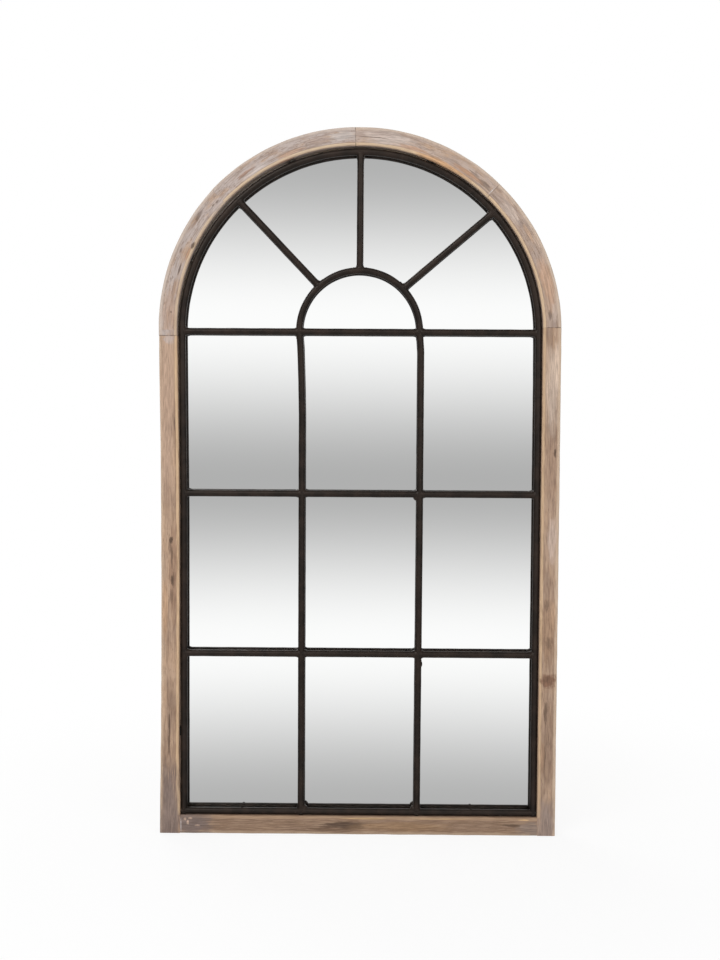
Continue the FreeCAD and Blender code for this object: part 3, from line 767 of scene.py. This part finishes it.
def rod_end(spot):
    """Round end face of a rod, lying level."""
    select_nothing()
    bpy.ops.mesh.primitive_circle_add(vertices=rod_sides, radius=rod_radius + paint_film,
                                      fill_type="NGON", location=spot)
    end = bpy.context.object
    settle(end)
    return end


def straight_rod(start, end):
    """Rod from one point to another."""
    along = Vector(end) - Vector(start)
    rod = rod_end((0, 0, 0))
    pick(rod, "FACE", everything)
    run_out((0, 0, along.length), max(round(along.length / rod_step), 1))
    leave()
    rod.rotation_euler = Vector((0, 0, 1)).rotation_difference(along).to_euler()
    rod.location = start
    settle(rod)
    return rod


def mitre(rod, side, corner, keep_leg):
    """Cuts a rod's end at a bottom corner of the ring along the mitre."""
    reach = 6 * rod_radius
    close_up(rod)
    pick(rod, "FACE", lambda spot: (spot - corner).length < reach)
    bpy.ops.mesh.bisect(plane_co=corner, plane_no=(side, 0, 1), use_fill=True,
                        clear_inner=keep_leg, clear_outer=not keep_leg)
    leave()


uneven_rod = bpy.data.textures.new("uneven_rod", "CLOUDS")
uneven_rod.noise_scale = 0.02
uneven_rod.noise_depth = 2

iron_group, iron_entry, iron_exit = effect_group(
    "blackened iron", {"Place": "Vector"}, {"Color": "Color", "Roughness": "Float", "Height": "Float"})
mottle = streaks(iron_group, iron_entry["Place"], (0.02, 0.02, 0.02), 4)
speckle = streaks(iron_group, iron_entry["Place"], (0.0012, 0.0012, 0.0012), 2)
brown_share = stepped(iron_group, mottle, 0.35, 0.65)
iron_colour = mixed(iron_group, brown_share, paint(27, 22, 19), paint(42, 33, 28))
iron_group.links.new(iron_colour, iron_exit["Color"])
iron_group.links.new(worked(iron_group, "MULTIPLY_ADD", mottle, 0.25, 0.27), iron_exit["Roughness"])
fine_relief = worked(iron_group, "MULTIPLY", speckle, 0.25)
iron_group.links.new(worked(iron_group, "MULTIPLY_ADD", mottle, 0.5, fine_relief), iron_exit["Height"])

iron, iron_tree, iron_shader, iron_place = new_finish("blackened iron")
iron_finish = shader_node(iron_tree, "Group", {}, node_tree=iron_group)
iron_tree.links.new(iron_place, iron_finish.inputs["Place"])
iron_tree.links.new(iron_finish.outputs["Color"], iron_shader.inputs["Base Color"])
iron_tree.links.new(iron_finish.outputs["Roughness"], iron_shader.inputs["Roughness"])
bumped(iron_tree, iron_finish.outputs["Height"], 0.35, 0.0004)
iron_shader.inputs["Specular IOR Level"].default_value = 0.24
iron_shader.inputs["Specular Tint"].default_value = (1.0, 0.88, 0.8, 1)


def dress_iron(rod, name, *nodes):
    """Gives a rod or weld its slight unevenness and its paint."""
    close_up(rod)
    apply_modifier(rod, "DISPLACE", texture=uneven_rod, texture_coords="GLOBAL",
                   strength=rod_waver, mid_level=0.5)
    smooth(rod, rod_crease)
    rod.name = name
    rod.data.materials.append(iron)
    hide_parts(*nodes)
    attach(rod, "frame")


def follow(points):
    """Draws the selected end on through a list of places, each given across and up."""
    for (x, z), (next_x, next_z) in zip(points, points[1:]):
        move = Vector((next_x - x, 0, next_z - z))
        run_out(move, max(round(move.length / rod_step), 1))


def bent_rod(left, right, drop):
    """Rod bent to an arch: up through the left leg's places, over, and down through the right leg's. The
    crown of the arch may be let down by a share of its height."""
    middle = Vector(((left[-1][0] + right[0][0]) / 2, rod_y, spring))
    rod = rod_end((left[0][0], rod_y, left[0][1]))
    pick(rod, "FACE", everything)
    follow(left)
    bpy.ops.mesh.spin(steps=bend_steps, angle=math.pi, center=middle, axis=(0, -1, 0))
    follow(right)
    pick(rod, "VERT", lambda spot: spot.z > spring)
    bpy.ops.transform.resize(value=(1, 1, 1 - drop), center_override=middle)
    leave()
    return rod


leg_foot = ring_bottom - 2 * rod_radius
ring_crown = 0.0006            # how far the arch of the ring sits to the left
leg_drift = 0.0018             # how far the lower part of the left leg stands in
ring_left = [(-ring_half + leg_drift, leg_foot), (-ring_half + leg_drift, 0.50), (-ring_half, 0.70),
             (-ring_half - ring_crown, spring)]
ring_right = [(ring_half - ring_crown, spring), (ring_half, 0.70), (ring_half, leg_foot)]
crown_drop = 0.005             # share by which the bend is flatter than a half circle
ring = bent_rod(ring_left, ring_right, crown_drop)
corners = {side: Vector((x, rod_y, ring_bottom))
           for side, x in ((-1, ring_left[0][0]), (1, ring_right[-1][0]))}
overrun = Vector((2 * rod_radius, 0, 0))
base = straight_rod(corners[-1] - overrun, corners[1] + overrun)
for side, corner in corners.items():
    mitre(ring, side, corner, True)
    mitre(base, side, corner, False)
dress_iron(ring, "ring_bent_iron", "ring_bent_rod")
dress_iron(base, "ring_base_iron", "ring_base_rod")

# Hub and uprights
# One rod bent to a small arch, its two legs running down as the uprights and welded to the base rod.
# It was bent by hand: the legs stand a little wide at the spring and ease in below it.
hub_low, hub_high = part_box("hub_rod")
hub_half = (hub_high.x - hub_low.x) / 2 - rod_radius
hub_left = [(-hub_half + 0.0022, ring_bottom), (-hub_half + 0.0018, 0.65), (-hub_half + 0.0008, 0.70),
            (-hub_half - 0.0008, 0.75), (-hub_half - 0.0028, spring)]
hub_right = [(hub_half - 0.0003, spring), (hub_half + 0.0018, 0.745), (hub_half + 0.0017, 0.45),
             (hub_half + 0.0006, ring_bottom)]
dress_iron(bent_rod(hub_left, hub_right, 0), "hub_iron", "hub_rod")

# Crossbars
# Three rows of short lengths of the same rod, three to a row, coped to the legs and uprights.
# Each is welded at both ends.
columns = ("left", "centre", "right")
row_drop = {"lower": 0.0011, "middle": 0.0012, "upper": 0.0014}      # set a little low


def leg_at(leg, height):
    """Point on a leg at a height."""
    points = sorted(leg, key=lambda point: point[1])
    for (x, z), (next_x, next_z) in zip(points, points[1:]):
        if z <= height <= next_z:
            return Vector((x + (next_x - x) * (height - z) / (next_z - z), rod_y, height))


row_stops = {}
for row, drop in row_drop.items():
    bar_low, bar_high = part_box("crossbar_" + row + "_centre")
    height = (bar_low.z + bar_high.z) / 2 - drop
    row_stops[row] = [leg_at(leg, height) for leg in (ring_left, hub_left, hub_right, ring_right)]
    for column, start, end in zip(columns, row_stops[row], row_stops[row][1:]):
        name = "crossbar_" + row + "_" + column
        dress_iron(straight_rod(start, end), name + "_iron", name)

# Spokes
# Three straight lengths of the same rod that fan out from the hub's arch to the ring.
# They were set by eye and welded at both ends, so they stand a little off true.
hub_crown = Vector(((hub_left[-1][0] + hub_right[0][0]) / 2, rod_y, spring))
hub_round = (hub_right[0][0] - hub_left[-1][0]) / 2
ring_middle = Vector((-ring_crown, rod_y, spring))
spoke_short = 0.001            # how far a spoke stops short of the ring's middle line
spoke_angles = (("left", 132.4, 133.4), ("centre", 90, 90.15),
                ("right", 44.5, 41.9))     # degrees up from the right, at the hub and at the ring
spokes = {}
for column, hub_angle, ring_angle in spoke_angles:
    foot = hub_crown + round_arch(hub_angle, hub_round)
    head = ring_middle + round_arch(ring_angle, ring_half - spoke_short)
    spokes[column] = (foot, head)
    dress_iron(straight_rod(foot, head), "spoke_" + column + "_iron", "spoke_" + column)

# Welds
# A small run of weld round each rod end, ground a little and painted over, so it reads as a soft
# fillet. Drops of metal thrown off by the welding stick to the rods here and there.
stub = 0.011                   # length of rod that a weld takes in
weld_build = 0.0024            # how far the run stands out from the rod
weld_leg = 0.0054              # how far it reaches along the rod
weld_set_back = 0.0015         # welded from behind, so the run is fuller there
weld_grain = 0.0006            # size of the cells that the parts of a weld are melted in
elbow_fill = 0.75              # size of the metal in a corner, as a share of the rod
gusset_fill = 1.15
lump_height = 0.265            # a lump left on the right upright under the lower bar
lump_radius = 0.0023
spatter = ((-0.1610, 11, 0.0013), (0.1588, 25, 0.0017), (-0.0960, -10, 0.0013), (0.0310, 20, 0.0013),
           (-0.1795, 80, 0.0015), (0.1755, 80, 0.0015))     # along the base rod, degrees up it, radius


def joined(parts):
    """Joins pieces into one."""
    take(parts[0])
    for part in parts:
        part.select_set(True)
    bpy.ops.object.join()
    return bpy.context.object


def melt(name, parts):
    """Runs overlapping pieces together into one soft-cornered solid."""
    blob = joined(parts)
    settle(blob)
    apply_modifier(blob, "REMESH", mode="VOXEL", voxel_size=weld_grain)
    apply_modifier(blob, "SMOOTH", factor=0.5, iterations=7)
    blob.name = name
    return blob


def stub_rod(start, end):
    """Plain length of rod inside a weld."""
    along = Vector(end) - Vector(start)
    bpy.ops.mesh.primitive_cylinder_add(vertices=rod_sides, radius=rod_radius, depth=along.length)
    rod = bpy.context.object
    rod.rotation_euler = Vector((0, 0, 1)).rotation_difference(along).to_euler()
    rod.location = (Vector(start) + Vector(end)) / 2
    return rod


def tee_weld():
    """Weld where a rod leaves along X from another that runs up and down."""
    select_nothing()
    parts = [stub_rod((0, 0, -stub), (0, 0, stub)), stub_rod((0, 0, 0), (stub + rod_radius, 0, 0))]
    saddle = rod_radius / 2
    toe = rod_radius + weld_leg
    bpy.ops.mesh.primitive_cone_add(vertices=rod_sides, radius1=rod_radius + weld_build,
                                    radius2=rod_radius, depth=toe - saddle,
                                    location=((saddle + toe) / 2, weld_set_back, 0),
                                    rotation=(0, math.pi / 2, 0))
    return melt("tee_weld", parts + [bpy.context.object])


def corner_weld(fill):
    """Weld in a corner between a rod that runs up and one along X, as full as a share of the rod."""
    select_nothing()
    parts = [stub_rod((0, 0, -rod_radius), (0, 0, stub)), stub_rod((-rod_radius, 0, 0), (stub, 0, 0))]
    inset = rod_radius * (fill - 0.25)
    bpy.ops.mesh.primitive_uv_sphere_add(segments=20, ring_count=12, radius=rod_radius * fill,
                                         location=(inset, weld_set_back, inset))
    return melt("corner_weld", parts + [bpy.context.object])


tee = tee_weld()
elbow = corner_weld(elbow_fill)
gusset = corner_weld(gusset_fill)


def set_weld(model, spot, angle, flip=1):
    """Copy of a weld with its own mesh, turned to an angle up from the right and put in place."""
    weld = model.copy()
    weld.data = model.data.copy()
    bpy.context.scene.collection.objects.link(weld)
    weld.rotation_euler.y = -math.radians(angle)
    weld.scale.x = flip
    weld.location = spot
    settle(weld)
    return weld


def weld_ends(start, end):
    """Welds at both ends of a rod."""
    along = end - start
    angle = math.degrees(math.atan2(along.z, along.x))
    return [set_weld(tee, start, angle), set_weld(tee, end, angle + 180)]


def weld_drop(spot, radius, stretch):
    """Drop of metal thrown off a weld, drawn out by a share along each axis."""
    select_nothing()
    bpy.ops.mesh.primitive_uv_sphere_add(segments=12, ring_count=8, radius=radius, location=spot)
    drop = bpy.context.object
    drop.scale = stretch
    settle(drop)
    return drop


weld_groups = {"fan": [], "base": []}
for row, stops in row_stops.items():
    weld_groups[row] = []
    for start, end in zip(stops, stops[1:]):
        weld_groups[row] += weld_ends(start, end)
for column, (foot, head) in spokes.items():
    weld_groups["fan"] += weld_ends(foot, head)
    across = math.degrees(math.atan2(foot.z - head.z, foot.x - head.x)) - 90
    if column != "centre":
        weld_groups["fan"] += [set_weld(elbow, head, across, side) for side in (-1, 1)]
for side, (x, z) in ((-1, hub_left[0]), (1, hub_right[-1])):
    weld_groups["base"].append(set_weld(tee, (x, rod_y, z), 90))
    weld_groups["base"].append(set_weld(gusset, (x, rod_y, z), 0, -side))
for side, corner in corners.items():
    weld_groups["base"].append(set_weld(elbow, corner, 0, -side))
weld_groups["middle"].append(set_weld(gusset, row_stops["middle"][2], 180))
for x, lift, radius in spatter:
    turn = math.radians(lift)
    spot = Vector((x, rod_y - rod_radius * math.cos(turn), ring_bottom + rod_radius * math.sin(turn)))
    weld_groups["base"].append(weld_drop(spot, radius, (1.3, 1, 0.8)))
lump = leg_at(hub_right, lump_height) + Vector((rod_radius - lump_radius / 3, 0, 0))
weld_groups["lower"].append(weld_drop(lump, lump_radius, (1, 1, 2.2)))
for group, welds in weld_groups.items():
    dress_iron(joined(welds), "welds_" + group + "_iron", "weld_beads_" + group)
for model in (tee, elbow, gusset):
    bpy.data.objects.remove(model)

# Fixing tabs
# Short steel plates welded behind the ring, each with a zinc screw driven out into the timber.
# They are behind the rod, so only their edges show from the side.
speckle_group, speckle_entry, speckle_exit = effect_group(
    "speckle",
    {"Place": "Vector", "Scale": "Vector", "Detail": "Float", "First": "Color", "Second": "Color",
     "Rough span": "Float", "Rough base": "Float"},
    {"Color": "Color", "Roughness": "Float"})
speck_place = shader_node(speckle_group, "Mapping", {"Vector": speckle_entry["Place"],
                                                     "Scale": speckle_entry["Scale"]})
specks = shader_node(speckle_group, "TexNoise", {"Vector": speck_place.outputs[0], "Scale": 1.0,
                                                 "Detail": speckle_entry["Detail"],
                                                 "Roughness": 0.6}).outputs[0]
speck_colour = mixed(speckle_group, specks, speckle_entry["First"], speckle_entry["Second"])
speckle_group.links.new(speck_colour, speckle_exit["Color"])
speck_rough = worked(speckle_group, "MULTIPLY_ADD", specks, speckle_entry["Rough span"],
                     speckle_entry["Rough base"])
speckle_group.links.new(speck_rough, speckle_exit["Roughness"])


def speckled(name, size, detail, first, second, rough_span, rough_base, metallic=0):
    """Finish that runs from one colour to another in specks of a size, and is as unevenly rough."""
    material, tree, shader, place = new_finish(name)
    finish = shader_node(tree, "Group", {
        "Place": place, "Scale": [1 / length for length in size], "Detail": detail, "First": first,
        "Second": second, "Rough span": rough_span, "Rough base": rough_base}, node_tree=speckle_group)
    tree.links.new(finish.outputs["Color"], shader.inputs["Base Color"])
    tree.links.new(finish.outputs["Roughness"], shader.inputs["Roughness"])
    shader.inputs["Metallic"].default_value = metallic
    return material


zinc = speckled("zinc screw", (0.0015, 0.0015, 0.0015), 3, paint(196, 194, 186), paint(156, 152, 142),
                0.3, 0.22, metallic=1)
finish_node("grille_tabs", iron)
finish_node("grille_tab_screws", zinc)

# Mirror
# One sheet of silvered float glass, cut to the arch with its arris ground, lying in the rabbet.
# The silver is painted grey behind, and the cut edge is green.
glass_half = glass_high.x
glass_arris = 0.0006
arch_sides = 192               # sides of the whole circle that a sheet's top is cut from
arris_angle = 60               # edges sharper than this are ground


def faced(piece, axis, low, high):
    """The faces of a piece whose normal leans this far along an axis."""
    return [face for face in piece.data.polygons if low <= face.normal[axis] <= high]


def arched_sheet(half, bottom, front, thickness):
    """Sheet with a straight foot and a half-round top."""
    select_nothing()
    bpy.ops.mesh.primitive_circle_add(vertices=arch_sides, radius=half, fill_type="NGON",
                                      location=(0, front, spring), rotation=(math.pi / 2, 0, 0))
    sheet = bpy.context.object
    settle(sheet)
    pick(sheet, "FACE", everything)
    bpy.ops.mesh.bisect(plane_co=(0, front, spring), plane_no=(0, 0, 1), clear_inner=True)
    pick(sheet, "EDGE", lambda spot: same(spot.z, spring))
    bpy.ops.mesh.extrude_region_move(TRANSFORM_OT_translate={"value": (0, 0, bottom - spring)})
    bpy.ops.mesh.select_all(action="SELECT")
    bpy.ops.mesh.dissolve_limited(angle_limit=math.radians(0.5))
    bpy.ops.mesh.select_mode(type="FACE")
    bpy.ops.mesh.select_all(action="SELECT")
    bpy.ops.mesh.extrude_region_move(TRANSFORM_OT_translate={"value": (0, thickness, 0)})
    leave()
    close_up(sheet)
    return sheet


glass = arched_sheet(glass_half, glass_low.z, glass_front, glass_high.y - glass_front)
apply_modifier(glass, "BEVEL", width=glass_arris, segments=2, limit_method="ANGLE",
               angle_limit=math.radians(arris_angle))
silver = speckled("mirror silver", (0.15, 0.15, 0.15), 4, (0.975, 0.98, 0.975, 1), (0.96, 0.967, 0.963, 1),
                  0.012, 0, metallic=1)
glass_edge = speckled("green glass edge", (0.004, 0.004, 0.004), 3, paint(96, 132, 118),
                      paint(140, 168, 154), 0.2, 0.1)
backing_paint = speckled("grey backing paint", (0.3, 0.05, 0.02), 3, paint(118, 120, 120),
                         paint(104, 106, 107), 0.2, 0.4)
for material in (glass_edge, silver, backing_paint):
    glass.data.materials.append(material)
for face in faced(glass, 1, -1.0, -0.99):
    face.material_index = 1
for face in faced(glass, 1, 0.99, 1.0):
    face.material_index = 2
glass.name = "mirror_sheet"
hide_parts("mirror_glass")
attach(glass, "frame")

# Packing
# A sheet of grey-brown fluted cardboard, cut to the glass and laid loose behind it.
# The back presses on it, and so holds the glass without marking the paint.
cardboard = speckled("cardboard", (0.002, 0.002, 0.002), 3, paint(186, 152, 112), paint(158, 124, 88),
                     0.1, 0.8)
card_tree = cardboard.node_tree
card_place = shader_node(card_tree, "TexCoord", {}).outputs["Object"]
bumped(card_tree, streaks(card_tree, card_place, (0.004, 0.01, 0.3)), 0.3, 0.0004)
finish_node("cardboard_sheet", cardboard)

# Backing board
# Thin brown fibreboard sawn to the arch, its face smooth and a little clouded.
# Zinc screws all round hold it to the back of the timber.
fibreboard, board_tree, board_shader, board_place = new_finish("backing fibreboard")
board_fibre = streaks(board_tree, board_place, (0.0022, 0.0022, 0.0022), 5)
board_cloud = streaks(board_tree, board_place, (0.05, 0.05, 0.05), 4)
board_share = stepped(board_tree, blended(board_tree, board_fibre, board_cloud, 0.75), 0.3, 0.7)
board_colour = mixed(board_tree, board_share, paint(136, 104, 76), paint(170, 136, 102))
board_tree.links.new(board_colour, board_shader.inputs["Base Color"])
board_rough = worked(board_tree, "MULTIPLY_ADD", board_cloud, 0.25, 0.5)
board_tree.links.new(board_rough, board_shader.inputs["Roughness"])
bumped(board_tree, board_fibre, 0.25, 0.0003)
finish_node("backing_board", fibreboard)
finish_node("backing_screws", zinc)

# Hangers
# Nickelled steel straps rolled into an eye at the top, each held to the back by two zinc screws.
# A D-shaped wire ring is closed through each eye and swings in it.
nickel = speckled("nickel hanger", (0.004, 0.004, 0.004), 4, paint(206, 200, 190), paint(176, 168, 156),
                  0.25, 0.15, metallic=1)
for side in ("left", "right"):
    finish_node("hanger_strap_" + side, nickel)
    finish_node("hanger_ring_" + side, nickel)
finish_node("hanger_screws", zinc)

# Wall bumpers
# Two discs of black rubber stuck to the foot of the back.
# They keep the lower edge of the frame off the wall.
rubber = speckled("rubber bumper", (0.003, 0.003, 0.003), 4, paint(34, 33, 32), paint(58, 56, 54), 0.2, 0.6)
finish_node("wall_bumpers", rubber)

# Studio
# A pale floor, softboxes in front and behind, and a room of soft grey and white bands that only
# reflections see. The camera stands where the photograph was taken from, two metres in front.
select_nothing()
floor_size = 12
bpy.ops.mesh.primitive_plane_add(size=floor_size, location=(0, 0, cad_box[0].z))
floor = bpy.context.object
floor.name = "studio_floor"
floor.visible_glossy = False
floor_paint = bpy.data.materials.new("pale floor")
floor_paint.use_nodes = True
floor_tree = floor_paint.node_tree
floor_tree.nodes.clear()
floor_diffuse = shader_node(floor_tree, "BsdfDiffuse", {"Color": (0.9, 0.9, 0.9, 1)})
floor_glow = shader_node(floor_tree, "Emission", {"Color": (1, 1, 1, 1), "Strength": 1.0})
floor_place = shader_node(floor_tree, "TexCoord", {}).outputs["Object"]
floor_reach = vector_worked(floor_tree, "LENGTH", floor_place)["Value"]
floor_fade = worked(floor_tree, "MULTIPLY_ADD", stepped(floor_tree, floor_reach, 0.3, 1.1), 0.15, 0.85)
seen = shader_node(floor_tree, "LightPath", {}).outputs["Is Camera Ray"]
floor_share = worked(floor_tree, "MULTIPLY", seen, floor_fade)
floor_mix = shader_node(floor_tree, "MixShader", {0: floor_share, 1: floor_diffuse.outputs[0],
                                                  2: floor_glow.outputs[0]})
shader_node(floor_tree, "OutputMaterial", {"Surface": floor_mix.outputs[0]})
floor.data.materials.append(floor_paint)

room = bpy.data.worlds.new("studio room")
bpy.context.scene.world = room
room.use_nodes = True
room_tree = room.node_tree
room_tree.nodes.clear()
room_ray = shader_node(room_tree, "TexCoord", {}).outputs["Generated"]
room_axes = shader_node(room_tree, "SeparateXYZ", {0: room_ray}).outputs
room_lift = room_axes["Z"]
room_angle = worked(room_tree, "DEGREES", worked(room_tree, "ARCSINE", room_lift))
room_low, room_high = -30.0, 30.0
room_place = shader_node(room_tree, "MapRange", {"Value": room_angle, "From Min": room_low,
                                                 "From Max": room_high})
bands = room_tree.nodes.new("ShaderNodeValToRGB")
bands.color_ramp.interpolation = "EASE"
room_bands = ((-24, 225), (-17, 180), (-10, 255), (-2.9, 178), (4.1, 255), (11.1, 179), (18, 235),
              (30, 245))       # each as degrees up and its level, 0 to 255
while len(bands.color_ramp.elements) < len(room_bands):
    bands.color_ramp.elements.new(0.5)
for element, (angle, level) in zip(bands.color_ramp.elements, room_bands):
    element.position = (angle - room_low) / (room_high - room_low)
for element, (angle, level) in zip(bands.color_ramp.elements, room_bands):
    element.color = paint(level, level, level)
room_tree.links.new(room_place.outputs["Result"], bands.inputs[0])
room_depth = worked(room_tree, "ABSOLUTE", room_axes["Y"])
room_side = paint(120, 120, 120)
room_round = mixed(room_tree, stepped(room_tree, room_depth, 0.4, 0.8), room_side, bands.outputs[0])
room_floor = mixed(room_tree, stepped(room_tree, room_lift, -0.4, -0.65), room_round, paint(205, 205, 205))
room_path = shader_node(room_tree, "LightPath", {}).outputs
soft_light = 0.62
lit = mixed(room_tree, room_path["Is Glossy Ray"], (soft_light, soft_light, soft_light, 1), room_floor)
shown = mixed(room_tree, room_path["Is Camera Ray"], lit, (1, 1, 1, 1))
room_glow = shader_node(room_tree, "Background", {"Color": shown, "Strength": 1.0})
shader_node(room_tree, "OutputWorld", {"Surface": room_glow.outputs[0]})

aim_height = 0.6               # where on the mirror the softboxes point
softboxes = (("key softbox", (-1.3, -2.2, 2.4), 1.6, 34.0), ("fill softbox", (1.8, -2.4, 1.5), 1.4, 14.0),
             ("back softbox", (-1.4, 2.4, 2.2), 1.6, 30.0))     # place, width and watts
for name, spot, width, power in softboxes:
    lamp = bpy.data.lights.new(name, "AREA")
    lamp.size = width
    lamp.energy = power
    softbox = bpy.data.objects.new(name, lamp)
    bpy.context.scene.collection.objects.link(softbox)
    softbox.location = spot
    aim = Vector((0, 0, aim_height)) - softbox.location
    softbox.rotation_euler = aim.to_track_quat("-Z", "Y").to_euler()

lens = bpy.data.cameras.new("camera")
lens.lens = 49.09
lens.sensor_width = 36
camera = bpy.data.objects.new("camera", lens)
bpy.context.scene.collection.objects.link(camera)
camera.location = (0.0155, -2.0098, 0.6481)
camera.rotation_euler = (math.radians(87.163), math.radians(-0.333), math.radians(0.447))
bpy.context.scene.camera = camera
bpy.context.scene.view_settings.view_transform = "Standard"
